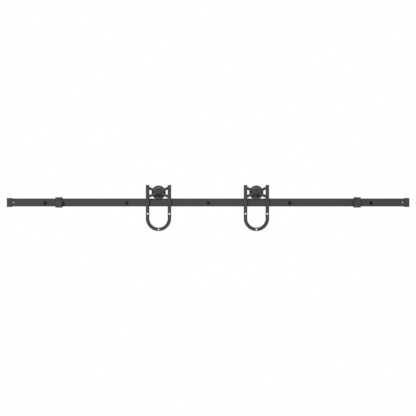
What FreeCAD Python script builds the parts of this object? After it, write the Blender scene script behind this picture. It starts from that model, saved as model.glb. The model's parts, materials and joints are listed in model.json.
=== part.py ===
"""Sliding barn door hardware: a flat track on five wall spacers, two horseshoe hangers that roll
along it on grooved wheels, two clamped door stops and two end caps.

Millimetres. +X runs along the track, +Y points into the wall and +Z is up. The origin is the
middle of the centre spacer's wall face, so the wall is the plane y = 0.
"""

import FreeCAD, Part  # FreeCAD has to come first

import math
import os

# ---------------------------------------------------------------- driving dimensions

# Track: flat bar, bolted through to wall studs
TRACK_LENGTH = 2000.0
TRACK_HEIGHT = 40.0
TRACK_THICKNESS = 6.0
TRACK_EDGE_RADIUS = 0.8
STUD_SPACING = 406.4
LAG_COUNT = 5
END_HOLE_INSET = 28.4
END_HOLE_RADIUS = 3.0

# Hexagon heads: the flat on top and the round face underneath, as shares of the width across flats
HEAD_TOP_SHARE = 0.95
HEAD_SEAT_SHARE = 0.96
HEAD_SEAT_HEIGHT = 0.4
HEAD_CHAMFER_ANGLE = 30.0
NUT_FACE_SHARE = 0.97

# Wall spacers and lag bolts
SPACER_LENGTH = 35.0
SPACER_RADIUS = 12.5
SPACER_EDGE = 0.8
LAG_HOLE_RADIUS = 4.5
LAG_SHANK_RADIUS = 4.0
LAG_THREAD_RADIUS = 3.8
LAG_LENGTH = 90.0
LAG_POINT_LENGTH = 8.0
LAG_POINT_RADIUS = 0.4
LAG_HEAD_ACROSS_FLATS = 13.0
LAG_HEAD_HEIGHT = 5.3
LAG_WASHER_RADIUS = 8.5
LAG_WASHER_THICKNESS = 1.6

# Grooved wheel
TREAD_RADIUS = 29.8
ROLLING_GAP = 0.2
FLANGE_RADIUS = 35.0
WHEEL_WIDTH = 18.0
GROOVE_WIDTH = 8.0
GROOVE_FLARE = 0.8
TREAD_SEAT_RADIUS = 25.0
FACE_RECESS_RADIUS = 17.0
FACE_RECESS_DEPTH = 2.2
HUB_RADIUS = 19.5
FLANGE_FACE_RADIUS = 27.0
FLANGE_FACE_INSET = 1.6
WHEEL_EDGE = 1.0
RIM_EDGE = 0.3
TREAD_EDGE = 0.5

# Deep-groove ball bearing pressed into the wheel
BEARING_BORE = 5.0
BEARING_RADIUS = 15.0
BEARING_WIDTH = 9.0
BALL_COUNT = 8
BALL_RADIUS = 2.25
RACE_RADIUS = 2.4
PITCH_RADIUS = 10.0
INNER_SHOULDER = 8.2
OUTER_SHOULDER = 11.9
SEAL_SEAT_DEPTH = 0.8
SEAL_THICKNESS = 0.8
SEAL_GAP = 0.25
CAGE_HALF_THICKNESS = 1.2
CAGE_BACKBONE_REACH = 3.3
CAGE_FINGER_REACH = 0.8
CAGE_POCKET_GAP = 0.1
CIRCLIP_THICKNESS = 1.2
CIRCLIP_DEPTH = 0.9
CIRCLIP_RING_WIDTH = 1.6
CIRCLIP_HALF_GAP = 14.0
CIRCLIP_EYE_RADIUS = 1.6
CIRCLIP_EYE_HOLE_RADIUS = 0.8
CIRCLIP_EYE_DROP = 0.6
CIRCLIP_EYE_OFFSET = 0.9
BEARING_LIP = 1.5

# Horseshoe hanger
HANGER_WIDTH = 126.0
STRAP_WIDTH = 17.3
STRAP_THICKNESS = 6.0
STRAP_ABOVE_AXLE = 37.0
HANGER_HEIGHT = 229.4
STRAP_EDGE_RADIUS = 1.0
STRAP_BACK_EDGE_RADIUS = 0.4
DOOR_HOLE_RADIUS = 4.25
SIDE_HOLE_DROP = 106.6
LOWER_HOLE_OFFSET = 0.8
BRACE_THICKNESS = 5.0
BRACE_ARM_WIDTH = 13.8
UPPER_ARM_ANGLE = 24.6
LOWER_ARM_ANGLE = 23.0
BRACE_NOTCH_RADIUS = 5.0
BRACE_BOSS_RADIUS = 13.0
BRACE_EDGE_RADIUS = 0.8
BRACE_BORE_RADIUS = 5.1
STRAP_TO_TRACK = 8.5

# Axle bolt and what is threaded on it
AXLE_RADIUS = 4.98
AXLE_LENGTH = 45.0
AXLE_TIP_CHAMFER = 1.0
AXLE_HEAD_ACROSS_FLATS = 17.0
AXLE_HEAD_HEIGHT = 6.4
FRONT_WASHER_RADIUS = 12.0
BACK_WASHER_RADIUS = 10.0
AXLE_WASHER_THICKNESS = 2.0
AXLE_WASHER_BORE_RADIUS = 5.25
AXLE_WASHER_EDGE = 0.4
BUSH_RADIUS = 7.5
BUSH_BORE_RADIUS = 5.05
BACK_BUSH_LENGTH = 6.0
NUT_HEIGHT = 10.0
NUT_HEX_HEIGHT = 7.6
NUT_COLLAR_RADIUS = 7.9
NUT_INSERT_RADIUS = 6.9
NUT_INSERT_LENGTH = 1.9
NUT_INSERT_INSET = 0.2
NUT_EDGE = 1.0

# Where the two hangers stand, along the track
HANGER_X = {"left": -246.5, "right": 240.5}

# Door stops, clamped on the track
STOP_X = 743.5
STOP_WIDTH = 30.0
STOP_WALL_BELOW = 4.8
STOP_WALL_ABOVE = 4.8
STOP_TOP_RISE = 1.7
STOP_FRONT_DEPTH = 19.0
STOP_LIP_DEPTH = 4.0
STOP_LIP_OVERLAP = 6.5
STOP_SLIDE_GAP = 0.3
STOP_CORNER_RADIUS = 2.5
STOP_FRONT_EDGE_RADIUS = 0.8
STOP_SCREW_RADIUS = 3.0
STOP_SCREW_LENGTH = 6.5
STOP_SCREW_SPREAD = 15.0
STOP_SCREW_CHAMFER = 0.5
SOCKET_ACROSS_FLATS = 3.0
SOCKET_DEPTH = 2.4
THREAD_GAP = 0.02

# Rubber bumper on each stop
BUMPER_HEIGHT = 28.0
BUMPER_WIDTH = 14.0
BUMPER_THICKNESS = 8.5
BUMPER_Z = -3.0
BUMPER_EDGE_RADIUS = 2.0
BUMPER_RECESS_DEPTH = 4.5
BUMPER_RECESS_RADIUS = 4.0
BUMPER_HOLE_RADIUS = 2.1
BUMPER_SCREW_RADIUS = 2.0
BUMPER_SCREW_HEAD_RADIUS = 3.8
BUMPER_SCREW_HEAD_HEIGHT = 2.4
BUMPER_SCREW_BITE = 10.0

# Caps pushed over the track's ends
CAP_LENGTH = 25.0
CAP_HEIGHT = 45.2
CAP_DEPTH = 11.4
CAP_END_WALL = 4.0
CAP_FIT_GAP = 0.05
CAP_CORNER_RADIUS = 1.6

# Modelling: how far a cut runs past what it cuts, and how near two things are that touch or agree
OVERCUT = 1.0
TOUCHING = 1e-4
PARALLEL = 0.999

# ---------------------------------------------------------------- places worked out from them

TRACK_BACK = -SPACER_LENGTH
TRACK_FRONT = TRACK_BACK - TRACK_THICKNESS
TRACK_MID = (TRACK_BACK + TRACK_FRONT) / 2
TRACK_TOP = TRACK_HEIGHT / 2
TRACK_END = TRACK_LENGTH / 2
AXLE_Z = TRACK_TOP + ROLLING_GAP + TREAD_RADIUS

LAG_XS = [(i - (LAG_COUNT - 1) / 2) * STUD_SPACING for i in range(LAG_COUNT)]

STRAP_BACK = TRACK_FRONT - STRAP_TO_TRACK
STRAP_FRONT = STRAP_BACK - STRAP_THICKNESS
BRACE_FRONT = STRAP_BACK - BRACE_THICKNESS
STRAP_TOP = AXLE_Z + STRAP_ABOVE_AXLE
STRAP_OUTER = HANGER_WIDTH / 2
STRAP_INNER = STRAP_OUTER - STRAP_WIDTH
STRAP_MIDDLE = (STRAP_OUTER + STRAP_INNER) / 2
ARC_Z = STRAP_TOP - HANGER_HEIGHT + STRAP_OUTER

WHEEL_FRONT = TRACK_MID - WHEEL_WIDTH / 2
WHEEL_BACK = TRACK_MID + WHEEL_WIDTH / 2
BEARING_FRONT = TRACK_MID - BEARING_WIDTH / 2
BEARING_BACK = TRACK_MID + BEARING_WIDTH / 2
BACK_BUSH_END = BEARING_BACK + BACK_BUSH_LENGTH
NUT_FRONT = BACK_BUSH_END + AXLE_WASHER_THICKNESS
AXLE_HEAD_SEAT = BRACE_FRONT - AXLE_WASHER_THICKNESS
STRAP_DEPTH_MID = (STRAP_FRONT + STRAP_BACK) / 2

X_AXIS = FreeCAD.Vector(1, 0, 0)
Y_AXIS = FreeCAD.Vector(0, 1, 0)
Z_AXIS = FreeCAD.Vector(0, 0, 1)


def point(x, y, z):
    return FreeCAD.Vector(x, y, z)


# ---------------------------------------------------------------- shape helpers


def block(x0, x1, y0, y1, z0, z1):
    """A box between two corners, given in any order."""
    low = point(min(x0, x1), min(y0, y1), min(z0, z1))
    return Part.makeBox(abs(x1 - x0), abs(y1 - y0), abs(z1 - z0), low)


def rod(radius, y0, y1, x=0.0, z=0.0):
    """A cylinder along Y."""
    return Part.makeCylinder(radius, y1 - y0, point(x, y0, z), Y_AXIS)


def ring(outer, inner, y0, y1, x=0.0, z=0.0):
    """A tube along Y."""
    return rod(outer, y0, y1, x, z).cut(rod(inner, y0 - OVERCUT, y1 + OVERCUT, x, z))


def turned(outline, x=0.0, z=0.0):
    """A solid turned about a line along Y through (x, z). The outline is a list of (radius, y)."""
    corners = [point(x + r, y, z) for r, y in outline]
    face = Part.Face(Part.makePolygon(corners + corners[:1]))
    return face.revolve(point(x, 0, z), Y_AXIS, 360)


def hexagon(across_flats, y0, y1, x=0.0, z=0.0):
    """A hexagonal prism along Y with a corner pointing up."""
    corner_radius = across_flats / math.sqrt(3)
    corners = [
        point(
            x + corner_radius * math.sin(math.radians(60 * i)),
            y0,
            z + corner_radius * math.cos(math.radians(60 * i)),
        )
        for i in range(6)
    ]
    face = Part.Face(Part.makePolygon(corners + corners[:1]))
    return face.extrude(point(0, y1 - y0, 0))


def hex_head(across_flats, height, seat, x, z):
    """A bolt head in front of the plane y = seat, with a turned chamfer and a round washer face."""
    corner_radius = across_flats / math.sqrt(3)
    top_radius = across_flats / 2 * HEAD_TOP_SHARE
    seat_radius = across_flats / 2 * HEAD_SEAT_SHARE
    chamfer = (corner_radius - top_radius) * math.tan(math.radians(HEAD_CHAMFER_ANGLE))
    prism = hexagon(across_flats, seat - height, seat - HEAD_SEAT_HEIGHT, x, z)
    cone = turned(
        [
            (0, seat - height),
            (top_radius, seat - height),
            (corner_radius, seat - height + chamfer),
            (corner_radius, seat),
            (0, seat),
        ],
        x,
        z,
    )
    return prism.common(cone).fuse(rod(seat_radius, seat - HEAD_SEAT_HEIGHT, seat, x, z))


def edges_along(shape, direction, test=None):
    """The straight edges parallel to a direction, or those of them that pass a test of their middle."""
    found = []
    for edge in shape.Edges:
        if not isinstance(edge.Curve, Part.Line):
            continue
        if abs(edge.tangentAt(edge.FirstParameter).dot(direction)) < PARALLEL:
            continue
        if test is None or test(edge.CenterOfMass):
            found.append(edge)
    return found


def edges_on_plane(shape, y):
    """The edges that lie in the plane at that y."""
    return [
        edge
        for edge in shape.Edges
        if abs(edge.BoundBox.YMin - y) < TOUCHING and abs(edge.BoundBox.YMax - y) < TOUCHING
    ]


# ---------------------------------------------------------------- track and its fastenings


def make_track():
    bar = block(-TRACK_END, TRACK_END, TRACK_FRONT, TRACK_BACK, -TRACK_TOP, TRACK_TOP)
    bar = bar.makeFillet(TRACK_EDGE_RADIUS, edges_along(bar, X_AXIS))
    for x in LAG_XS:
        bar = bar.cut(rod(LAG_HOLE_RADIUS, TRACK_FRONT - OVERCUT, TRACK_BACK + OVERCUT, x))
    for side in (-1, 1):
        x = side * (TRACK_END - END_HOLE_INSET)
        bar = bar.cut(rod(END_HOLE_RADIUS, TRACK_FRONT - OVERCUT, TRACK_BACK + OVERCUT, x))
    return bar


def make_wall_spacer(x):
    return turned(
        [
            (LAG_HOLE_RADIUS, TRACK_BACK),
            (SPACER_RADIUS - SPACER_EDGE, TRACK_BACK),
            (SPACER_RADIUS, TRACK_BACK + SPACER_EDGE),
            (SPACER_RADIUS, -SPACER_EDGE),
            (SPACER_RADIUS - SPACER_EDGE, 0),
            (LAG_HOLE_RADIUS, 0),
        ],
        x,
    )


def make_lag_bolt(x):
    """A hex-headed bolt: plain shank as far as the wall, thread at its mean radius beyond it."""
    seat = TRACK_FRONT - LAG_WASHER_THICKNESS
    tip = seat + LAG_LENGTH
    shank = turned(
        [
            (0, seat),
            (LAG_SHANK_RADIUS, seat),
            (LAG_SHANK_RADIUS, 0),
            (LAG_THREAD_RADIUS, 0),
            (LAG_THREAD_RADIUS, tip - LAG_POINT_LENGTH),
            (LAG_POINT_RADIUS, tip),
            (0, tip),
        ],
        x,
    )
    head = hex_head(LAG_HEAD_ACROSS_FLATS, LAG_HEAD_HEIGHT, seat, x, 0)
    return head.fuse(shank).removeSplitter()


def make_lag_washers():
    front = TRACK_FRONT - LAG_WASHER_THICKNESS
    return Part.makeCompound(
        [ring(LAG_WASHER_RADIUS, LAG_HOLE_RADIUS, front, TRACK_FRONT, x) for x in LAG_XS]
    )


# ---------------------------------------------------------------- end caps


def make_end_cap(side):
    """A sleeve over the end of the track, closed at its outer end. side is -1 or 1."""
    outer = side * (TRACK_END + CAP_END_WALL)
    inner = outer - side * CAP_LENGTH
    front, back = TRACK_MID - CAP_DEPTH / 2, TRACK_MID + CAP_DEPTH / 2
    cap = block(outer, inner, front, back, -CAP_HEIGHT / 2, CAP_HEIGHT / 2)
    rounded = edges_along(cap, X_AXIS) + edges_along(cap, Y_AXIS, lambda p: abs(p.x - outer) < TOUCHING)
    cap = cap.makeFillet(CAP_CORNER_RADIUS, rounded)
    pocket_end = side * (TRACK_END + CAP_FIT_GAP)
    return cap.cut(around_track(pocket_end, inner - side * OVERCUT, CAP_FIT_GAP))


def around_track(x0, x1, gap):
    """A box along the track that is larger than the track's section by a gap all round."""
    top = TRACK_TOP + gap
    return block(x0, x1, TRACK_FRONT - gap, TRACK_BACK + gap, -top, top)


# ---------------------------------------------------------------- door stops


def stop_faces(side):
    """The x of a stop's door-side face and of its outer face."""
    return side * (STOP_X - STOP_WIDTH / 2), side * (STOP_X + STOP_WIDTH / 2)


def stop_screw_xs(side):
    return [side * STOP_X + i * STOP_SCREW_SPREAD / 2 for i in (-1, 1)]


def make_stop_body(side):
    """A block that wraps the track, open behind, with a top that rises towards the door."""
    door_face, outer_face = stop_faces(side)
    body = stop_blank(door_face, outer_face)
    before, past = door_face - side * OVERCUT, outer_face + side * OVERCUT
    body = body.cut(around_track(before, past, STOP_SLIDE_GAP))
    mouth_top = TRACK_TOP - STOP_LIP_OVERLAP
    mouth_back = TRACK_BACK + STOP_LIP_DEPTH + OVERCUT
    body = body.cut(block(before, past, TRACK_MID, mouth_back, -mouth_top, mouth_top))
    for x in stop_screw_xs(side):
        foot = point(x, TRACK_MID, -TRACK_TOP - 2 * STOP_WALL_BELOW)
        body = body.cut(
            Part.makeCylinder(STOP_SCREW_RADIUS + THREAD_GAP, 2 * STOP_WALL_BELOW, foot, Z_AXIS)
        )
    start = point(door_face, STRAP_DEPTH_MID, BUMPER_Z)
    reach = BUMPER_SCREW_BITE + OVERCUT
    return body.cut(
        Part.makeCylinder(BUMPER_SCREW_RADIUS + THREAD_GAP, reach, start, X_AXIS * side)
    )


def stop_blank(door_face, outer_face):
    """The stop's outer form, before the track's slot is cut through it."""
    front = TRACK_FRONT - STOP_FRONT_DEPTH
    back = TRACK_BACK + STOP_LIP_DEPTH
    low = -TRACK_TOP - STOP_SLIDE_GAP - STOP_WALL_BELOW
    high = TRACK_TOP + STOP_SLIDE_GAP + STOP_WALL_ABOVE
    corners = [
        point(outer_face, front, low),
        point(door_face, front, low),
        point(door_face, front, high + STOP_TOP_RISE),
        point(outer_face, front, high),
    ]
    face = Part.Face(Part.makePolygon(corners + corners[:1]))
    blank = face.extrude(point(0, back - front, 0))
    blank = blank.makeFillet(STOP_CORNER_RADIUS, edges_along(blank, Y_AXIS))
    return blank.makeFillet(STOP_FRONT_EDGE_RADIUS, edges_on_plane(blank, front))


def make_stop_screws(side):
    """Two grub screws in the bottom wall, with hex sockets, that bear on the track's lower edge."""
    bottom = -TRACK_TOP - THREAD_GAP - STOP_SCREW_LENGTH
    screws = []
    for x in stop_screw_xs(side):
        foot = point(x, TRACK_MID, bottom)
        screw = Part.makeCylinder(STOP_SCREW_RADIUS, STOP_SCREW_LENGTH, foot, Z_AXIS)
        lower_rim = [e for e in screw.Edges if e.BoundBox.ZMax < bottom + STOP_SCREW_CHAMFER]
        screw = screw.makeChamfer(STOP_SCREW_CHAMFER, lower_rim)
        socket = hexagon(SOCKET_ACROSS_FLATS, 0, SOCKET_DEPTH)
        socket.rotate(point(0, 0, 0), X_AXIS, 90)
        socket.translate(foot)
        screws.append(screw.cut(socket))
    return Part.makeCompound(screws)


def make_bumper(side):
    """A rubber pad with round ends on the stop's door-side face, level with the strap it catches."""
    door_face, _ = stop_faces(side)
    straight = (BUMPER_HEIGHT - BUMPER_WIDTH) / 2
    tip = door_face - side * BUMPER_THICKNESS
    outward = X_AXIS * -side
    pad = block(
        door_face,
        tip,
        STRAP_DEPTH_MID - BUMPER_WIDTH / 2,
        STRAP_DEPTH_MID + BUMPER_WIDTH / 2,
        BUMPER_Z - straight,
        BUMPER_Z + straight,
    )
    for z in (BUMPER_Z - straight, BUMPER_Z + straight):
        foot = point(door_face, STRAP_DEPTH_MID, z)
        pad = pad.fuse(Part.makeCylinder(BUMPER_WIDTH / 2, BUMPER_THICKNESS, foot, outward))
    pad = pad.removeSplitter()
    pad = pad.makeFillet(BUMPER_EDGE_RADIUS, edges_at_x(pad, tip))
    start = point(tip, STRAP_DEPTH_MID, BUMPER_Z)
    recess = Part.makeCylinder(BUMPER_RECESS_RADIUS, BUMPER_RECESS_DEPTH, start, X_AXIS * side)
    hole = Part.makeCylinder(BUMPER_HOLE_RADIUS, BUMPER_THICKNESS + OVERCUT, start, X_AXIS * side)
    return pad.cut(recess).cut(hole)


def edges_at_x(shape, x):
    """The edges that lie in the plane at that x."""
    return [
        edge
        for edge in shape.Edges
        if abs(edge.BoundBox.XMin - x) < TOUCHING and abs(edge.BoundBox.XMax - x) < TOUCHING
    ]


def make_bumper_screw(side):
    """A cap screw with a rounded head, sunk in the bumper and tapped into the stop."""
    door_face, _ = stop_faces(side)
    seat_depth = BUMPER_THICKNESS - BUMPER_RECESS_DEPTH
    seat = point(door_face - side * seat_depth, STRAP_DEPTH_MID, BUMPER_Z)
    outward = X_AXIS * -side
    head = Part.makeCylinder(BUMPER_SCREW_HEAD_RADIUS, BUMPER_SCREW_HEAD_HEIGHT, seat, outward)
    top = seat.x - side * BUMPER_SCREW_HEAD_HEIGHT
    head = head.makeFillet(BUMPER_SCREW_HEAD_HEIGHT / 3, edges_at_x(head, top))
    shank = Part.makeCylinder(BUMPER_SCREW_RADIUS, seat_depth + BUMPER_SCREW_BITE, seat, X_AXIS * side)
    socket = hexagon(SOCKET_ACROSS_FLATS, 0, SOCKET_DEPTH / 2)
    socket.rotate(point(0, 0, 0), Z_AXIS, -90 * side)
    socket.translate(point(top, seat.y, seat.z))
    return head.fuse(shank).removeSplitter().cut(socket)


# ---------------------------------------------------------------- hanger


def make_strap(x):
    """The horseshoe: flat bar with two straight legs and a half-round bottom."""

    def arch(radius, top):
        left, right = point(x - radius, STRAP_FRONT, top), point(x + radius, STRAP_FRONT, top)
        left_foot, right_foot = point(x - radius, STRAP_FRONT, ARC_Z), point(x + radius, STRAP_FRONT, ARC_Z)
        bottom = point(x, STRAP_FRONT, ARC_Z - radius)
        edges = [
            Part.makeLine(left, left_foot),
            Part.Arc(left_foot, bottom, right_foot).toShape(),
            Part.makeLine(right_foot, right),
            Part.makeLine(right, left),
        ]
        return Part.Face(Part.Wire(edges))

    outline = arch(STRAP_OUTER, STRAP_TOP).cut(arch(STRAP_INNER, STRAP_TOP + OVERCUT))
    strap = outline.Faces[0].extrude(point(0, STRAP_THICKNESS, 0))
    strap = strap.makeFillet(STRAP_EDGE_RADIUS, edges_on_plane(strap, STRAP_FRONT))
    strap = strap.makeFillet(STRAP_BACK_EDGE_RADIUS, edges_on_plane(strap, STRAP_BACK))
    for hole_x, hole_z in door_holes(x):
        strap = strap.cut(rod(DOOR_HOLE_RADIUS, STRAP_FRONT - OVERCUT, STRAP_BACK + OVERCUT, hole_x, hole_z))
    return strap


def door_holes(x):
    """The (x, z) of a hanger's three door-bolt holes."""
    side_z = AXLE_Z - SIDE_HOLE_DROP
    lower_z = ARC_Z - STRAP_MIDDLE - LOWER_HOLE_OFFSET
    return [(x - STRAP_MIDDLE, side_z), (x + STRAP_MIDDLE, side_z), (x, lower_z)]


def make_brace_arms(x):
    """Four arms from the axle out past the legs. The upper pair is a little steeper than the lower."""
    reach = HANGER_WIDTH
    half_arm = BRACE_ARM_WIDTH / 2
    arms = []
    for side in (-1, 1):
        for angle in (-UPPER_ARM_ANGLE, LOWER_ARM_ANGLE):
            arm = block(x, x + side * reach, BRACE_FRONT, STRAP_BACK, AXLE_Z - half_arm, AXLE_Z + half_arm)
            arm.rotate(point(x, 0, AXLE_Z), Y_AXIS, side * angle)
            arms.append(arm)
    return arms[0].multiFuse(arms[1:]).fuse(rod(half_arm, BRACE_FRONT, STRAP_BACK, x, AXLE_Z))


def make_brace(x):
    """An X of four arms between the strap's legs, with a round boss that carries the axle."""
    reach = HANGER_WIDTH
    between_legs = block(
        x - STRAP_INNER, x + STRAP_INNER, BRACE_FRONT, STRAP_BACK, AXLE_Z - reach, AXLE_Z + reach
    )
    cross = make_brace_arms(x).common(between_legs).removeSplitter()
    notches = edges_along(
        cross, Y_AXIS, lambda p: abs(p.z - AXLE_Z) < half_notch() and abs(p.x - x) < STRAP_INNER - OVERCUT
    )
    cross = cross.makeFillet(BRACE_NOTCH_RADIUS, notches)
    plate = cross.fuse(rod(BRACE_BOSS_RADIUS, BRACE_FRONT, STRAP_BACK, x, AXLE_Z)).removeSplitter()
    rim = edges_on_plane(plate, BRACE_FRONT)
    free_rim = [e for e in rim if abs(abs(e.CenterOfMass.x - x) - STRAP_INNER) > TOUCHING]
    plate = plate.makeFillet(BRACE_EDGE_RADIUS, free_rim)
    return plate.cut(rod(BRACE_BORE_RADIUS, BRACE_FRONT - OVERCUT, STRAP_BACK + OVERCUT, x, AXLE_Z))


def half_notch():
    """How far above or below the axle the corner between two arms can lie."""
    return BRACE_ARM_WIDTH / 4


def make_axle_bolt(x):
    tip = AXLE_HEAD_SEAT + AXLE_LENGTH
    shank = turned(
        [
            (0, AXLE_HEAD_SEAT),
            (AXLE_RADIUS, AXLE_HEAD_SEAT),
            (AXLE_RADIUS, tip - AXLE_TIP_CHAMFER),
            (AXLE_RADIUS - AXLE_TIP_CHAMFER, tip),
            (0, tip),
        ],
        x,
        AXLE_Z,
    )
    head = hex_head(AXLE_HEAD_ACROSS_FLATS, AXLE_HEAD_HEIGHT, AXLE_HEAD_SEAT, x, AXLE_Z)
    return head.fuse(shank).removeSplitter()


def make_axle_washer(x, radius, front):
    back = front + AXLE_WASHER_THICKNESS
    return turned(
        [
            (AXLE_WASHER_BORE_RADIUS, front),
            (radius - AXLE_WASHER_EDGE, front),
            (radius, front + AXLE_WASHER_EDGE),
            (radius, back),
            (AXLE_WASHER_BORE_RADIUS, back),
        ],
        x,
        AXLE_Z,
    )


def make_bush(x, front, back):
    return ring(BUSH_RADIUS, BUSH_BORE_RADIUS, front, back, x, AXLE_Z)


def make_lock_nut(x):
    """A hexagon nut with the round collar that holds a nylon ring."""
    back = NUT_FRONT + NUT_HEIGHT
    hex_back = NUT_FRONT + NUT_HEX_HEIGHT
    corner_radius = AXLE_HEAD_ACROSS_FLATS / math.sqrt(3)
    prism = hexagon(AXLE_HEAD_ACROSS_FLATS, NUT_FRONT, hex_back, x, AXLE_Z)
    envelope = turned(
        [
            (0, NUT_FRONT),
            (AXLE_HEAD_ACROSS_FLATS / 2 * NUT_FACE_SHARE, NUT_FRONT),
            (corner_radius, NUT_FRONT + NUT_EDGE),
            (corner_radius, hex_back - NUT_EDGE),
            (NUT_COLLAR_RADIUS, hex_back),
            (0, hex_back),
        ],
        x,
        AXLE_Z,
    )
    collar = turned(
        [
            (0, hex_back),
            (NUT_COLLAR_RADIUS, hex_back),
            (NUT_COLLAR_RADIUS, back - NUT_EDGE),
            (NUT_COLLAR_RADIUS - NUT_EDGE, back),
            (0, back),
        ],
        x,
        AXLE_Z,
    )
    nut = prism.common(envelope).fuse(collar).removeSplitter()
    nut = nut.cut(rod(BEARING_BORE, NUT_FRONT - OVERCUT, back + OVERCUT, x, AXLE_Z))
    return nut.cut(rod(NUT_INSERT_RADIUS, back - NUT_INSERT_LENGTH, back + OVERCUT, x, AXLE_Z))


def make_nut_insert(x):
    front = NUT_FRONT + NUT_HEIGHT - NUT_INSERT_LENGTH
    back = NUT_FRONT + NUT_HEIGHT - NUT_INSERT_INSET
    return ring(NUT_INSERT_RADIUS, BEARING_BORE, front, back, x, AXLE_Z)


# ---------------------------------------------------------------- bearing


def race(x):
    """The doughnut that both ball tracks are cut with."""
    return Part.makeTorus(PITCH_RADIUS, RACE_RADIUS, point(x, TRACK_MID, AXLE_Z), Y_AXIS)


def make_inner_ring(x):
    return ring(INNER_SHOULDER, BEARING_BORE, BEARING_FRONT, BEARING_BACK, x, AXLE_Z).cut(race(x))


def make_outer_ring(x):
    outer = ring(BEARING_RADIUS, OUTER_SHOULDER, BEARING_FRONT, BEARING_BACK, x, AXLE_Z).cut(race(x))
    for front, back in seal_places():
        outer = outer.cut(rod(OUTER_SHOULDER + SEAL_SEAT_DEPTH, front, back, x, AXLE_Z))
    return outer


def seal_places():
    """The front and back y of both seals."""
    return [
        (BEARING_FRONT, BEARING_FRONT + SEAL_THICKNESS),
        (BEARING_BACK - SEAL_THICKNESS, BEARING_BACK),
    ]


def make_seals(x):
    outer, inner = OUTER_SHOULDER + SEAL_SEAT_DEPTH, INNER_SHOULDER + SEAL_GAP
    return Part.makeCompound([ring(outer, inner, front, back, x, AXLE_Z) for front, back in seal_places()])


def ball_centres(x):
    step = 2 * math.pi / BALL_COUNT
    return [
        point(x + PITCH_RADIUS * math.sin(i * step), TRACK_MID, AXLE_Z + PITCH_RADIUS * math.cos(i * step))
        for i in range(BALL_COUNT)
    ]


def ball(radius, centre):
    """A sphere whose poles lie along Y."""
    return Part.makeSphere(radius, centre, Y_AXIS)


def make_balls(x):
    return Part.makeCompound([ball(BALL_RADIUS, centre) for centre in ball_centres(x)])


def make_cage(x):
    """A crown cage: a ring beside the balls, with fingers between them."""
    outer, inner = PITCH_RADIUS + CAGE_HALF_THICKNESS, PITCH_RADIUS - CAGE_HALF_THICKNESS
    front, back = TRACK_MID - CAGE_BACKBONE_REACH, TRACK_MID + CAGE_FINGER_REACH
    cage = ring(outer, inner, front, back, x, AXLE_Z)
    for centre in ball_centres(x):
        cage = cage.cut(ball(BALL_RADIUS + CAGE_POCKET_GAP, centre))
    return cage


# ---------------------------------------------------------------- wheel


def make_wheel(x):
    """A turned steel wheel: a hub that slopes down to two flanges, a tread groove and a bearing bore."""
    half = WHEEL_WIDTH / 2
    rim = half - FLANGE_FACE_INSET
    recess = half - FACE_RECESS_DEPTH
    groove = GROOVE_WIDTH / 2
    clip_back = -BEARING_WIDTH / 2
    clip_front = clip_back - CIRCLIP_THICKNESS
    outline = [
        (BEARING_RADIUS, -recess),
        (FACE_RECESS_RADIUS, -recess),
        (FACE_RECESS_RADIUS + WHEEL_EDGE, -half),
        (HUB_RADIUS, -half),
        (FLANGE_FACE_RADIUS, -rim),
        (FLANGE_RADIUS - RIM_EDGE, -rim),
        (FLANGE_RADIUS, -rim + RIM_EDGE),
        (FLANGE_RADIUS, -groove - GROOVE_FLARE),
        (TREAD_RADIUS, -groove),
        (TREAD_SEAT_RADIUS, -groove),
        (TREAD_SEAT_RADIUS, groove),
        (TREAD_RADIUS, groove),
        (FLANGE_RADIUS, groove + GROOVE_FLARE),
        (FLANGE_RADIUS, rim - RIM_EDGE),
        (FLANGE_RADIUS - RIM_EDGE, rim),
        (FLANGE_FACE_RADIUS, rim),
        (HUB_RADIUS, half),
        (FACE_RECESS_RADIUS + WHEEL_EDGE, half),
        (FACE_RECESS_RADIUS, recess),
        (BEARING_RADIUS - BEARING_LIP, recess),
        (BEARING_RADIUS - BEARING_LIP, BEARING_WIDTH / 2),
        (BEARING_RADIUS, BEARING_WIDTH / 2),
        (BEARING_RADIUS, clip_back),
        (BEARING_RADIUS + CIRCLIP_DEPTH, clip_back),
        (BEARING_RADIUS + CIRCLIP_DEPTH, clip_front),
        (BEARING_RADIUS, clip_front),
    ]
    return turned([(r, TRACK_MID + y) for r, y in outline], x, AXLE_Z)


def make_tread(x):
    """The nylon tyre in the groove."""
    half = GROOVE_WIDTH / 2
    outline = [
        (TREAD_SEAT_RADIUS, -half),
        (TREAD_RADIUS - TREAD_EDGE, -half),
        (TREAD_RADIUS, -half + TREAD_EDGE),
        (TREAD_RADIUS, half - TREAD_EDGE),
        (TREAD_RADIUS - TREAD_EDGE, half),
        (TREAD_SEAT_RADIUS, half),
    ]
    return turned([(r, TRACK_MID + y) for r, y in outline], x, AXLE_Z)


def make_circlip(x):
    """An internal retaining ring with a gap and two eyes for pliers."""
    inner = BEARING_RADIUS - CIRCLIP_RING_WIDTH
    front = BEARING_FRONT - CIRCLIP_THICKNESS
    clip = ring(BEARING_RADIUS + CIRCLIP_DEPTH, inner, front, BEARING_FRONT, x, AXLE_Z)
    eye_radius = inner - CIRCLIP_EYE_DROP
    gap_x = eye_radius * math.sin(math.radians(CIRCLIP_HALF_GAP))
    eye_z = AXLE_Z - eye_radius * math.cos(math.radians(CIRCLIP_HALF_GAP))
    low = AXLE_Z - 2 * BEARING_RADIUS
    clip = clip.cut(block(x - gap_x, x + gap_x, front - OVERCUT, BEARING_FRONT + OVERCUT, low, AXLE_Z))
    eye_xs = [x + side * (gap_x + CIRCLIP_EYE_OFFSET) for side in (-1, 1)]
    for eye_x in eye_xs:
        clip = clip.fuse(rod(CIRCLIP_EYE_RADIUS, front, BEARING_FRONT, eye_x, eye_z))
    clip = clip.removeSplitter()
    for eye_x in eye_xs:
        clip = clip.cut(rod(CIRCLIP_EYE_HOLE_RADIUS, front - OVERCUT, BEARING_FRONT + OVERCUT, eye_x, eye_z))
    return clip


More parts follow.
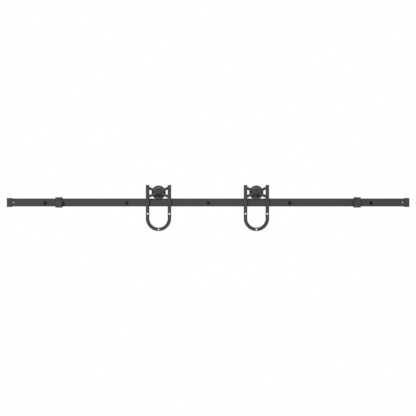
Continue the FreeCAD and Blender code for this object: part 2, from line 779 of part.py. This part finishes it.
# ---------------------------------------------------------------- all nodes


def hanger_nodes(side, x):
    return {
        f"{side}_horseshoe_strap": make_strap(x),
        f"{side}_axle_brace": make_brace(x),
        f"{side}_axle_bolt": make_axle_bolt(x),
        f"{side}_axle_washer_front": make_axle_washer(x, FRONT_WASHER_RADIUS, AXLE_HEAD_SEAT),
        f"{side}_axle_bush_front": make_bush(x, STRAP_BACK, BEARING_FRONT),
        f"{side}_axle_bush_back": make_bush(x, BEARING_BACK, BACK_BUSH_END),
        f"{side}_axle_washer_back": make_axle_washer(x, BACK_WASHER_RADIUS, BACK_BUSH_END),
        f"{side}_lock_nut": make_lock_nut(x),
        f"{side}_lock_nut_insert": make_nut_insert(x),
        f"{side}_bearing_inner_ring": make_inner_ring(x),
        f"{side}_bearing_balls": make_balls(x),
        f"{side}_bearing_cage": make_cage(x),
        f"{side}_bearing_outer_ring": make_outer_ring(x),
        f"{side}_bearing_seals": make_seals(x),
        f"{side}_bearing_circlip": make_circlip(x),
        f"{side}_wheel": make_wheel(x),
        f"{side}_wheel_tread": make_tread(x),
    }


def end_nodes(side, sign):
    return {
        f"{side}_end_cap": make_end_cap(sign),
        f"{side}_stop_body": make_stop_body(sign),
        f"{side}_stop_bumper": make_bumper(sign),
        f"{side}_stop_bumper_screw": make_bumper_screw(sign),
        f"{side}_stop_set_screws": make_stop_screws(sign),
    }


def all_nodes():
    nodes = {"track_rail": make_track(), "lag_bolt_washers": make_lag_washers()}
    for number, x in enumerate(LAG_XS, start=1):
        nodes[f"wall_spacer_{number}"] = make_wall_spacer(x)
        nodes[f"lag_bolt_{number}"] = make_lag_bolt(x)
    for side, sign in (("left", -1), ("right", 1)):
        nodes.update(end_nodes(side, sign))
        nodes.update(hanger_nodes(side, HANGER_X[side]))
    return nodes


def main():
    os.makedirs("parts", exist_ok=True)
    for name, shape in all_nodes().items():
        if not shape.isValid():
            raise ValueError(f"{name} isn't a valid shape")
        shape.exportStep(f"parts/{name}.step")
        print(name, len(shape.Solids), round(shape.Volume / 1000, 3), "cm3")


main()
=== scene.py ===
"""The looks of a set of sliding barn door hardware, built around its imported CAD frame.

Metres. +X runs along the track, +Y points into the wall and +Z is up. The CAD nodes keep their
shapes and get procedural materials. The lag bolts and axle bolts, with their real threads, and the
weld beads between braces and straps are meshes made here.
"""

import json
import math
import random

import bmesh
import bpy
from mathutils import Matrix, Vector


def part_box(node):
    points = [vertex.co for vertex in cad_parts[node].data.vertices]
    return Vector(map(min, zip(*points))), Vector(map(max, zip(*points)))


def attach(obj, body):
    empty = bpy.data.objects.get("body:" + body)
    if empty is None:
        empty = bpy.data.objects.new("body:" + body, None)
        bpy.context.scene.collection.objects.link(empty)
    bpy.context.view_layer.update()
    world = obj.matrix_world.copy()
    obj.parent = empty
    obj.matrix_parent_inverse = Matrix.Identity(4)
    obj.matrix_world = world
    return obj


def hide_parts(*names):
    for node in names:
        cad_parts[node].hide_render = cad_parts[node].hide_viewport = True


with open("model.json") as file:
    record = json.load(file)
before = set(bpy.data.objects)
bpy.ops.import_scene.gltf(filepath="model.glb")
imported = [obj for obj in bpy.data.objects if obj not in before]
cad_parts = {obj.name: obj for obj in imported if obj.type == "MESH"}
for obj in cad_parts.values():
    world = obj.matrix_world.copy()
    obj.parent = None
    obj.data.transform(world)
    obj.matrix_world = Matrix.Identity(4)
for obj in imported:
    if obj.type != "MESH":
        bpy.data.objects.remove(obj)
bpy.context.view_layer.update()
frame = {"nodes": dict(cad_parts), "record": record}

MM = 0.001

SIDES = ("left", "right")
LAG_NUMBERS = (1, 2, 3, 4, 5)


def middle(node):
    """The centre of a CAD node's box."""
    low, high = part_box(node)
    return (low + high) / 2


def mount(name):
    """A mount of the record, by name."""
    return next(m for m in frame["record"]["mounts"] if m["name"] == name)


TRACK_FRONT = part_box("track_rail")[0].y
WHEEL_SPACING = middle("right_wheel").x - middle("left_wheel").x

# ---------------------------------------------------------------- camera, light and floor

VIEW_DISTANCE = 3.3
VIEW_WIDTH = 2.0763
CAMERA_X = -0.4 * MM
CAMERA_Z = -27.6 * MM

ROOM_FILL = 0.24
KEY_PLACE, KEY_SIZE, KEY_POWER = (-2.03, -6.75, 6.41), 1.4, 725
FRONT_PLACE, FRONT_SIZE, FRONT_POWER = (0.9, -3.6, 0.6), 2.0, 4
BACK_PLACE, BACK_SIZE, BACK_POWER = (1.6, 3.0, 2.0), 1.6, 60

FLOOR_Z = -1.6
FLOOR_RADIUS = 1.5
FLOOR_FADE = 0.7


def make_camera():
    """A camera square to the track, so far away that VIEW_WIDTH of the track's front fills the frame."""
    data = bpy.data.cameras.new("camera")
    camera = bpy.data.objects.new("camera", data)
    bpy.context.scene.collection.objects.link(camera)
    data.lens = data.sensor_width * VIEW_DISTANCE / VIEW_WIDTH
    camera.location = (CAMERA_X, TRACK_FRONT - VIEW_DISTANCE, CAMERA_Z)
    camera.rotation_euler = (math.pi / 2, 0, 0)
    bpy.context.scene.camera = camera


def make_world():
    """A white room: plain white to the camera, and a softer white as light."""
    world = bpy.data.worlds.new("studio")
    bpy.context.scene.world = world
    world.use_nodes = True
    nodes, links = world.node_tree.nodes, world.node_tree.links
    nodes.clear()
    output = nodes.new("ShaderNodeOutputWorld")
    mix = nodes.new("ShaderNodeMixShader")
    rays = nodes.new("ShaderNodeLightPath")
    fill = nodes.new("ShaderNodeBackground")
    backdrop = nodes.new("ShaderNodeBackground")
    fill.inputs["Color"].default_value = (1, 1, 1, 1)
    fill.inputs["Strength"].default_value = ROOM_FILL
    backdrop.inputs["Color"].default_value = (1, 1, 1, 1)
    backdrop.inputs["Strength"].default_value = 1.0
    links.new(rays.outputs["Is Camera Ray"], mix.inputs["Fac"])
    links.new(fill.outputs["Background"], mix.inputs[1])
    links.new(backdrop.outputs["Background"], mix.inputs[2])
    links.new(mix.outputs["Shader"], output.inputs["Surface"])


def make_area_light(name, place, size, power):
    """A square soft box that faces the middle of the track and can't be seen itself."""
    data = bpy.data.lights.new(name, "AREA")
    data.shape = "SQUARE"
    data.size = size
    data.energy = power
    lamp = bpy.data.objects.new(name, data)
    bpy.context.scene.collection.objects.link(lamp)
    lamp.location = place
    lamp.rotation_euler = (-Vector(place)).to_track_quat("-Z", "Y").to_euler()
    lamp.visible_camera = False


def make_floor():
    """A pale round floor, clear from below and towards its rim."""
    form = bmesh.new()
    bmesh.ops.create_circle(form, cap_ends=True, segments=128, radius=FLOOR_RADIUS)
    mesh = bpy.data.meshes.new("floor")
    form.to_mesh(mesh)
    form.free()
    floor = bpy.data.objects.new("floor", mesh)
    bpy.context.scene.collection.objects.link(floor)
    floor.location.z = FLOOR_Z
    p = Paint("floor")
    p.set(Base_Color=(0.86, 0.86, 0.85, 1), Roughness=0.8)
    distance = p.add("ShaderNodeVectorMath", operation="LENGTH")
    p.links.new(p.place, distance.inputs[0])
    rim = p.ramp(distance.outputs["Value"], FLOOR_RADIUS - FLOOR_FADE, FLOOR_RADIUS)
    below = p.add("ShaderNodeNewGeometry").outputs["Backfacing"]
    clear = p.add("ShaderNodeBsdfTransparent")
    blend = p.add("ShaderNodeMixShader")
    p.links.new(p.math("MAXIMUM", rim, below), blend.inputs["Fac"])
    p.links.new(p.shader.outputs["BSDF"], blend.inputs[1])
    p.links.new(clear.outputs["BSDF"], blend.inputs[2])
    p.links.new(blend.outputs["Shader"], p.nodes["Material Output"].inputs["Surface"])
    mesh.materials.append(p.material)


# ---------------------------------------------------------------- node trees


class Paint:
    """A material's node tree with short ways to add nodes. Its coordinates are the piece's own, in metres."""

    def __init__(self, name):
        self.material = bpy.data.materials.new(name)
        self.material.use_nodes = True
        self.nodes = self.material.node_tree.nodes
        self.links = self.material.node_tree.links
        self.shader = self.nodes["Principled BSDF"]
        self.place = self.add("ShaderNodeTexCoord").outputs["Object"]

    def add(self, kind, **settings):
        node = self.nodes.new(kind)
        for key, value in settings.items():
            setattr(node, key, value)
        return node

    def set(self, **values):
        """Sets the shader's own sockets. Underscores in a name stand for spaces."""
        for key, value in values.items():
            self.shader.inputs[key.replace("_", " ")].default_value = value

    def link(self, **sockets):
        """Links sockets to the shader's. Underscores in a name stand for spaces."""
        for key, socket in sockets.items():
            self.links.new(socket, self.shader.inputs[key.replace("_", " ")])

    def math(self, operation, *values, clamp=False):
        """A math node. Each value is a number or a socket."""
        node = self.add("ShaderNodeMath", operation=operation, use_clamp=clamp)
        for socket, value in zip(node.inputs, values):
            if isinstance(value, (int, float)):
                socket.default_value = value
            else:
                self.links.new(value, socket)
        return node.outputs[0]

    def noise(self, feature, detail=2.0, rough=0.5, vector=None):
        """Noise whose features are about that many metres across."""
        node = self.add("ShaderNodeTexNoise")
        node.inputs["Scale"].default_value = 1 / feature
        node.inputs["Detail"].default_value = detail
        node.inputs["Roughness"].default_value = rough
        self.links.new(vector or self.place, node.inputs["Vector"])
        return node.outputs["Fac"]

    def grains(self, feature):
        """The distance to the nearest of many scattered points, in shares of their spacing."""
        node = self.add("ShaderNodeTexVoronoi")
        node.inputs["Scale"].default_value = 1 / feature
        self.links.new(self.place, node.inputs["Vector"])
        return node.outputs["Distance"]

    def ramp(self, value, low, high, to_low=0.0, to_high=1.0):
        """value from low..high, mapped to to_low..to_high and held at the ends."""
        node = self.add("ShaderNodeMapRange", clamp=True)
        self.links.new(value, node.inputs["Value"])
        for key, number in zip(("From Min", "From Max", "To Min", "To Max"), (low, high, to_low, to_high)):
            node.inputs[key].default_value = number
        return node.outputs["Result"]

    def mix(self, share, a, b):
        """A colour between a and b. Each is a colour or a socket."""
        node = self.add("ShaderNodeMix", data_type="RGBA")
        self.links.new(share, node.inputs["Factor"])
        for key, value in (("A", a), ("B", b)):
            socket = [s for s in node.inputs if s.name == key and s.type == "RGBA"][0]
            if isinstance(value, tuple):
                socket.default_value = (*value, 1)
            else:
                self.links.new(value, socket)
        return [s for s in node.outputs if s.type == "RGBA"][0]

    def bump(self, height, depth, under=None):
        """Bumps of that depth in metres, over an earlier bump's normal if there is one."""
        node = self.add("ShaderNodeBump")
        node.inputs["Distance"].default_value = depth
        self.links.new(height, node.inputs["Height"])
        if under is not None:
            self.links.new(under, node.inputs["Normal"])
        return node.outputs["Normal"]

    def edges(self, width):
        """1 on edges sharper than that width and 0 on flats."""
        bevel = self.add("ShaderNodeBevel", samples=6)
        bevel.inputs["Radius"].default_value = width
        flat = self.add("ShaderNodeNewGeometry")
        dot = self.add("ShaderNodeVectorMath", operation="DOT_PRODUCT")
        self.links.new(bevel.outputs["Normal"], dot.inputs[0])
        self.links.new(flat.outputs["Normal"], dot.inputs[1])
        return self.math("SUBTRACT", 1.0, dot.outputs["Value"], clamp=True)

    def lathe_marks(self, centre, spacing, pitch):
        """Fine rings round axes along Y that repeat along X at that spacing, from 0 to 1.

        centre is a point of the first axis. They run round the faces as well as round the rims.
        """
        split = self.add("ShaderNodeSeparateXYZ")
        self.links.new(self.place, split.inputs[0])
        x = self.math("SUBTRACT", split.outputs["X"], centre.x)
        x = self.math("WRAP", x, spacing / 2, -spacing / 2)
        z = self.math("SUBTRACT", split.outputs["Z"], centre.z)
        squares = self.math("ADD", self.math("MULTIPLY", x, x), self.math("MULTIPLY", z, z))
        across = self.math("SUBTRACT", self.math("SQRT", squares), split.outputs["Y"])
        turns = self.add("ShaderNodeCombineXYZ")
        self.links.new(across, turns.inputs["X"])
        return self.noise(pitch, detail=3, rough=0.7, vector=turns.outputs["Vector"])


# ---------------------------------------------------------------- materials


def coat(name, dark, light, gloss, peel_depth, sand_depth, marks=None):
    """Charcoal powder coat: orange peel, fine sand, a breath of mottling, and slightly rubbed edges."""
    p = Paint(name)
    p.set(Metallic=0.0, IOR=1.5, Specular_IOR_Level=0.4)
    mottle = p.noise(90 * MM, detail=5, rough=0.55)
    base = p.mix(p.ramp(mottle, 0.3, 0.7), dark, light)
    sand = p.grains(0.55 * MM)
    # Painted shade: the coat is painted darker in the sand pits, where the sand bump sinks.
    base = p.mix(p.ramp(sand, 0.1, 0.55, 0.22, 0.0), base, tuple(c * 0.45 for c in dark))
    fleck = p.ramp(p.noise(0.45 * MM, detail=1), 0.66, 0.78, 0.0, 0.3)
    base = p.mix(fleck, base, tuple(c * 2.2 for c in light))
    chafe = p.ramp(p.noise(4 * MM, detail=5, rough=0.65), 0.5, 0.66)
    worn = p.math("MULTIPLY", p.ramp(p.edges(0.5 * MM), 0.05, 0.3), chafe)
    base = p.mix(p.math("MULTIPLY", worn, 0.22), base, (0.12, 0.122, 0.127))
    rough = p.ramp(p.noise(22 * MM, detail=4), 0.3, 0.7, gloss, gloss + 0.07)
    rough = p.math("SUBTRACT", rough, p.math("MULTIPLY", worn, 0.1))
    normal = p.bump(p.noise(1.9 * MM, detail=1), peel_depth)
    if marks:
        normal = p.bump(p.lathe_marks(*marks), 0.05 * MM, under=normal)
    p.link(Base_Color=base, Roughness=rough, Normal=p.bump(sand, sand_depth, under=normal))
    return p.material


def black_oxide():
    """Oiled black oxide on steel: near black, faintly brown in patches, with bright wear on the edges."""
    p = Paint("black_oxide")
    p.set(Metallic=0.0, Specular_IOR_Level=0.25)
    patch = p.noise(5 * MM, detail=5, rough=0.65)
    base = p.mix(p.ramp(patch, 0.35, 0.65), (0.0055, 0.0055, 0.0058), (0.012, 0.011, 0.0102))
    chafe = p.ramp(p.noise(1.6 * MM, detail=4, rough=0.65), 0.46, 0.6)
    worn = p.math("MULTIPLY", p.ramp(p.edges(0.25 * MM), 0.04, 0.25), chafe)
    base = p.mix(p.math("MULTIPLY", worn, 0.4), base, (0.17, 0.165, 0.155))
    rough = p.ramp(p.noise(1.5 * MM, detail=4), 0.3, 0.7, 0.36, 0.54)
    scale = p.bump(p.noise(0.5 * MM, detail=3), 0.03 * MM)
    pits = p.bump(p.ramp(p.grains(1.3 * MM), 0.05, 0.3), 0.015 * MM, under=scale)
    p.link(Base_Color=base, Roughness=rough, Normal=pits)
    return p.material


def polished_steel(name, colour, gloss, marks):
    """Ground steel with fine rings from the grinding and a satin break-up."""
    p = Paint(name)
    p.set(Metallic=1.0)
    cloud = p.noise(2.5 * MM, detail=4)
    base = p.mix(p.ramp(cloud, 0.3, 0.7), colour, tuple(c * 0.86 for c in colour))
    rough = p.ramp(p.noise(0.6 * MM, detail=3), 0.3, 0.7, gloss, gloss + 0.12)
    rings = p.bump(p.lathe_marks(*marks), 0.006 * MM)
    p.link(Base_Color=base, Roughness=rough, Normal=p.bump(p.noise(0.25 * MM), 0.003 * MM, under=rings))
    return p.material


def moulded(name, dark, light, gloss, texture, depth, marks=None):
    """Moulded or turned plastic or rubber with a fine sparked texture."""
    p = Paint(name)
    cloud = p.noise(14 * MM, detail=5, rough=0.6)
    base = p.mix(p.ramp(cloud, 0.35, 0.65), dark, light)
    dust = p.ramp(p.noise(0.7 * MM, detail=2), 0.62, 0.78, 0.0, 0.25)
    base = p.mix(dust, base, tuple(c * 1.8 for c in light))
    rubbed = p.ramp(p.edges(0.5 * MM), 0.05, 0.35, 0.0, 0.3)
    base = p.mix(rubbed, base, tuple(c * 1.5 for c in light))
    rough = p.ramp(p.noise(3 * MM, detail=4), 0.3, 0.7, gloss - 0.05, gloss + 0.05)
    skin = p.bump(p.noise(texture, detail=2, rough=0.6), depth)
    if marks:
        skin = p.bump(p.lathe_marks(*marks), 0.02 * MM, under=skin)
    p.link(Base_Color=base, Roughness=rough, Normal=skin)
    return p.material


def grey(level):
    """A neutral with the faint blue of the coat."""
    return (level, level * 1.012, level * 1.045)


def make_materials():
    """One material for each of the record's slots."""
    wheels = (middle("left_wheel"), WHEEL_SPACING)
    return {
        "powder_coat": coat("powder_coat", grey(0.058), grey(0.062), 0.5, 0.09 * MM, 0.05 * MM),
        "coated_steel": coat("coated_steel", grey(0.056), grey(0.062), 0.42, 0.03 * MM, 0.02 * MM),
        # The wheels use the track's coat painted a shade lighter. This is a painted highlight for the key
        # light that catches the wheels' faces.
        "wheel_steel": coat(
            "wheel_steel", grey(0.070), grey(0.076), 0.38, 0.03 * MM, 0.02 * MM, (*wheels, 0.5 * MM)
        ),
        "black_oxide": black_oxide(),
        "bearing_steel": polished_steel("bearing_steel", (0.42, 0.42, 0.43), 0.24, (*wheels, 0.15 * MM)),
        "spring_steel": polished_steel("spring_steel", (0.09, 0.09, 0.1), 0.3, (*wheels, 0.3 * MM)),
        "nylon_black": moulded(
            "nylon_black", grey(0.016), grey(0.022), 0.42, 0.8 * MM, 0.02 * MM, (*wheels, 0.4 * MM)
        ),
        "nylon_blue_grey": moulded(
            "nylon_blue_grey", (0.16, 0.2, 0.26), (0.2, 0.24, 0.3), 0.4, 0.8 * MM, 0.02 * MM
        ),
        "cage_brown": moulded(
            "cage_brown", (0.12, 0.07, 0.035), (0.15, 0.09, 0.05), 0.42, 0.8 * MM, 0.02 * MM
        ),
        "seal_rubber": moulded("seal_rubber", grey(0.012), grey(0.018), 0.66, 0.5 * MM, 0.02 * MM),
        "bumper_rubber": moulded("bumper_rubber", grey(0.030), grey(0.038), 0.7, 0.6 * MM, 0.04 * MM),
        "cap_plastic": moulded("cap_plastic", grey(0.056), grey(0.061), 0.56, 0.45 * MM, 0.04 * MM),
    }


def paint_nodes(materials):
    """Each CAD node takes the material of its slot in the record."""
    for part in frame["record"]["subparts"]:
        mesh = frame["nodes"][part["node"]].data
        mesh.materials.clear()
        mesh.materials.append(materials[part["material_slot"]])


# ---------------------------------------------------------------- meshes round a line along Y

SEGMENTS = 36
ANGLES = [2 * math.pi * i / SEGMENTS for i in range(SEGMENTS)]
SHARP_ANGLE = math.radians(32)

# Hexagon heads, where a share is of half the width across flats
HEAD_TOP_SHARE = 0.95
HEAD_SEAT_SHARE = 0.96
HEAD_SEAT_STEP = 0.4 * MM
HEAD_CHAMFER_ANGLE = math.radians(30)
DISH_SHARE_OF_TOP = 0.72
DISH_FLOOR_SHARE = 0.8
DISH_RIM_SHARE = 1.06
DISH_DEPTH = 0.35 * MM
DISH_EDGE_DEPTH = 0.1 * MM


def round_ring(radius, y):
    """A ring is one (radius, y) for each of ANGLES, which start at +Z and turn towards +X."""
    return [(radius, y)] * SEGMENTS


def hex_radii(across_flats):
    """The radii of a hexagon with a corner pointing up, at each of ANGLES."""
    sixth = math.pi / 3
    return [across_flats / 2 / math.cos(angle % sixth - sixth / 2) for angle in ANGLES]


def head_rings(across_flats, front, seat):
    """A forged hexagon head: dished top, chamfer, six flats, and a round face that bears on the washer."""
    top = across_flats / 2 * HEAD_TOP_SHARE
    dish = top * DISH_SHARE_OF_TOP
    seat_radius = across_flats / 2 * HEAD_SEAT_SHARE
    slope = math.tan(HEAD_CHAMFER_ANGLE)
    radii = hex_radii(across_flats)
    return [
        round_ring(dish * DISH_FLOOR_SHARE, front + DISH_DEPTH),
        round_ring(dish, front + DISH_EDGE_DEPTH),
        round_ring(dish * DISH_RIM_SHARE, front),
        round_ring(top, front),
        [(r, front + (r - top) * slope) for r in radii],
        [(r, seat - HEAD_SEAT_STEP) for r in radii],
        round_ring(seat_radius, seat - HEAD_SEAT_STEP),
        round_ring(seat_radius, seat),
    ]


def thread_ring(y, root, crest, pitch, half_width):
    """One ring across a right-hand thread whose ridge is 2 * half_width of the pitch wide at its root."""
    ring = []
    for angle in ANGLES:
        off_ridge = abs((y / pitch - angle / (2 * math.pi)) % 1.0 - 0.5)
        ring.append((root + (crest - root) * max(0.0, 1 - off_ridge / half_width), y))
    return ring


def steps(start, end, step):
    """Evenly spaced numbers from start to end, about that step apart."""
    count = max(1, round((end - start) / step))
    return [start + (end - start) * i / count for i in range(count + 1)]


def loft(rings):
    """A closed mesh through rings about the Y axis, with a fan over each end."""
    form = bmesh.new()
    rows = []
    for ring in rings:
        places = [(r * math.sin(a), y, r * math.cos(a)) for (r, y), a in zip(ring, ANGLES)]
        rows.append([form.verts.new(place) for place in places])
    for first, second in zip(rows, rows[1:]):
        for i in range(SEGMENTS):
            j = (i + 1) % SEGMENTS
            form.faces.new((first[i], first[j], second[j], second[i]))
    for row, ring in ((rows[0], rings[0]), (rows[-1], rings[-1])):
        centre = form.verts.new((0, ring[0][1], 0))
        for i in range(SEGMENTS):
            form.faces.new((row[i], row[(i + 1) % SEGMENTS], centre))
    bmesh.ops.recalc_face_normals(form, faces=form.faces)
    return form


def make_piece(name, form, material_name, body, replaced=None):
    """Turns a bmesh into an object with a slot's material that rides on a body."""
    mesh = bpy.data.meshes.new(name)
    form.to_mesh(mesh)
    form.free()
    mesh.shade_smooth()
    mesh.set_sharp_from_angle(angle=SHARP_ANGLE)
    mesh.materials.append(MATERIALS[material_name])
    piece = bpy.data.objects.new(name, mesh)
    bpy.context.scene.collection.objects.link(piece)
    if replaced:
        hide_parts(replaced)
    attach(piece, body)
    return piece


# ---------------------------------------------------------------- lag bolts

LAG_PITCH = 3.2 * MM
LAG_THREAD_DEPTH = 1.1 * MM
LAG_SHANK_RADIUS = 4.0 * MM
LAG_POINT = 9 * MM
LAG_POINT_CURVE = 0.6
LAG_TIP_CUT = 0.2 * MM
LAG_THREAD_START = 0.2 * MM
LAG_RIDGE_HALF_WIDTH = 0.26
LAG_DEPTH_BELOW_MEAN = 0.6
LAG_ROWS = 10


def lag_thread_rings(start, tip):
    """A wood thread that starts at full height and follows the point down to its tip."""
    mean = mount("lag_thread_centre")["dims"]["r_mm"] * MM
    root = mean - LAG_THREAD_DEPTH * LAG_DEPTH_BELOW_MEAN
    crest = mean + LAG_THREAD_DEPTH * (1 - LAG_DEPTH_BELOW_MEAN)
    rings = []
    for y in steps(start, tip - LAG_TIP_CUT, LAG_PITCH / LAG_ROWS):
        taper = min(1.0, (tip - y) / LAG_POINT)
        run_in = min(1.0, (y - start) / LAG_PITCH)
        height = (crest - root) * taper**LAG_POINT_CURVE * run_in
        core = root * taper + (1 - run_in) * (LAG_SHANK_RADIUS - root)
        rings.append(thread_ring(y, core, core + height, LAG_PITCH, LAG_RIDGE_HALF_WIDTH))
    return rings


def make_lag_bolt(number):
    """A hex-headed lag bolt, drawn about its own axis and then set in its place."""
    node = f"lag_bolt_{number}"
    low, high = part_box(node)
    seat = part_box("lag_bolt_washers")[0].y
    thread = mount("lag_thread_centre")
    wall = thread["pos_m"][1] - thread["dims"]["length_mm"] / 2 * MM
    rings = head_rings(high.x - low.x, low.y, seat)
    rings += [round_ring(LAG_SHANK_RADIUS, y) for y in (seat, wall)]
    rings += lag_thread_rings(wall + LAG_THREAD_START, high.y)
    piece = make_piece(f"{node}_threaded", loft(rings), "black_oxide", "track", node)
    piece.location = (middle(node).x, 0, middle(node).z)
    return piece


# ---------------------------------------------------------------- axle bolts

AXLE_PITCH = 1.5 * MM
AXLE_THREAD_DEPTH = 0.8 * MM
AXLE_RADIUS = 4.98 * MM
AXLE_CHAMFER = 1.0 * MM
AXLE_RIDGE_HALF_WIDTH = 0.44
AXLE_ROWS = 8
AXLE_THREAD_AHEAD_OF_NUT = 1.6 * MM


def make_axle_bolt(side):
    """An M10 hex bolt whose thread starts just ahead of its lock nut and shows behind it."""
    node = f"{side}_axle_bolt"
    low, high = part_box(node)
    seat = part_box(f"{side}_axle_washer_front")[0].y
    thread_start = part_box(f"{side}_lock_nut")[0].y - AXLE_THREAD_AHEAD_OF_NUT
    root = AXLE_RADIUS - AXLE_THREAD_DEPTH
    rings = head_rings(high.x - low.x, low.y, seat)
    rings += [round_ring(AXLE_RADIUS, y) for y in (seat, thread_start - AXLE_CHAMFER)]
    for y in steps(thread_start, high.y, AXLE_PITCH / AXLE_ROWS):
        crest = min(AXLE_RADIUS, root + max(0.0, high.y - y))
        rings.append(thread_ring(y, root, crest, AXLE_PITCH, AXLE_RIDGE_HALF_WIDTH))
    piece = make_piece(f"{node}_threaded", loft(rings), "coated_steel", f"{side}_hanger", node)
    piece.location = (middle(node).x, 0, middle(node).z)
    return piece


# ---------------------------------------------------------------- weld beads

BEAD_HALF_WIDTH = 2.1 * MM
BEAD_HALF_HEIGHT = 1.4 * MM
BEAD_RIPPLE = 1.15 * MM
BEAD_ROWS = 6
BEAD_SEGMENTS = 14
BEAD_OVERRUN = 0.6 * MM
BEAD_NEAR = 0.1 * MM
BEAD_SEED = 11
BEAD_MOST_RIPPLES = 64
BEAD_END_RIPPLES = 1.5
BEAD_TRAIL = 0.45
RIPPLE_LOW = 0.84
RIPPLE_CURVE = 0.6


def arm_ends(side):
    """Where a brace's arms meet the strap's legs: (x, lowest z, highest z) for each of the four."""
    node = f"{side}_axle_brace"
    low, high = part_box(node)
    axle_z = middle(f"{side}_wheel").z
    ends = []
    for x in (low.x, high.x):
        touching = [v.co.z for v in frame["nodes"][node].data.vertices if abs(v.co.x - x) < BEAD_NEAR]
        above = [z for z in touching if z > axle_z]
        below = [z for z in touching if z < axle_z]
        ends += [(x, min(zs), max(zs)) for zs in (above, below)]
    return ends


def add_bead(form, x, y, z_low, z_high, draw):
    """Adds a rippled bead along Z to a bmesh: half of it is sunk in the corner that it fills."""
    rows = []
    ripple_sizes = [draw.uniform(0.9, 1.08) for _ in range(BEAD_MOST_RIPPLES)]
    for z in steps(z_low, z_high, BEAD_RIPPLE / BEAD_ROWS):
        along = (z - z_low) / BEAD_RIPPLE
        end = min(z - z_low, z_high - z) / (BEAD_END_RIPPLES * BEAD_RIPPLE)
        swell = math.sqrt(max(0.02, 1 - (1 - min(1.0, end)) ** 2))
        ripple = RIPPLE_LOW + (1 - RIPPLE_LOW) * (along % 1.0) ** RIPPLE_CURVE
        size = swell * ripple * ripple_sizes[int(along)]
        row = []
        for i in range(BEAD_SEGMENTS):
            angle = 2 * math.pi * i / BEAD_SEGMENTS
            across, out = math.sin(angle), math.cos(angle)
            trail = BEAD_TRAIL * BEAD_RIPPLE * across**2
            place = (x + BEAD_HALF_WIDTH * size * across, y - BEAD_HALF_HEIGHT * size * out, z - trail)
            row.append(form.verts.new(place))
        rows.append(row)
    for first, second in zip(rows, rows[1:]):
        for i in range(BEAD_SEGMENTS):
            j = (i + 1) % BEAD_SEGMENTS
            form.faces.new((first[i], second[i], second[j], first[j]))
    form.faces.new(rows[0])
    form.faces.new(list(reversed(rows[-1])))


def make_welds(side, draw):
    """One bead up the front of each of the four joints between a brace and its strap."""
    form = bmesh.new()
    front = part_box(f"{side}_axle_brace")[0].y
    for x, z_low, z_high in arm_ends(side):
        add_bead(form, x, front, z_low - BEAD_OVERRUN, z_high + BEAD_OVERRUN, draw)
    bmesh.ops.recalc_face_normals(form, faces=form.faces)
    return make_piece(f"{side}_brace_welds", form, "powder_coat", f"{side}_hanger")


# ---------------------------------------------------------------- the scene

bpy.context.scene.view_settings.view_transform = "Standard"
make_camera()
make_world()
make_floor()
make_area_light("key_light", KEY_PLACE, KEY_SIZE, KEY_POWER)
make_area_light("front_fill", FRONT_PLACE, FRONT_SIZE, FRONT_POWER)
make_area_light("back_fill", BACK_PLACE, BACK_SIZE, BACK_POWER)

MATERIALS = make_materials()
paint_nodes(MATERIALS)
for lag_number in LAG_NUMBERS:
    make_lag_bolt(lag_number)
weld_draw = random.Random(BEAD_SEED)
for hanger_side in SIDES:
    make_axle_bolt(hanger_side)
    make_welds(hanger_side, weld_draw)
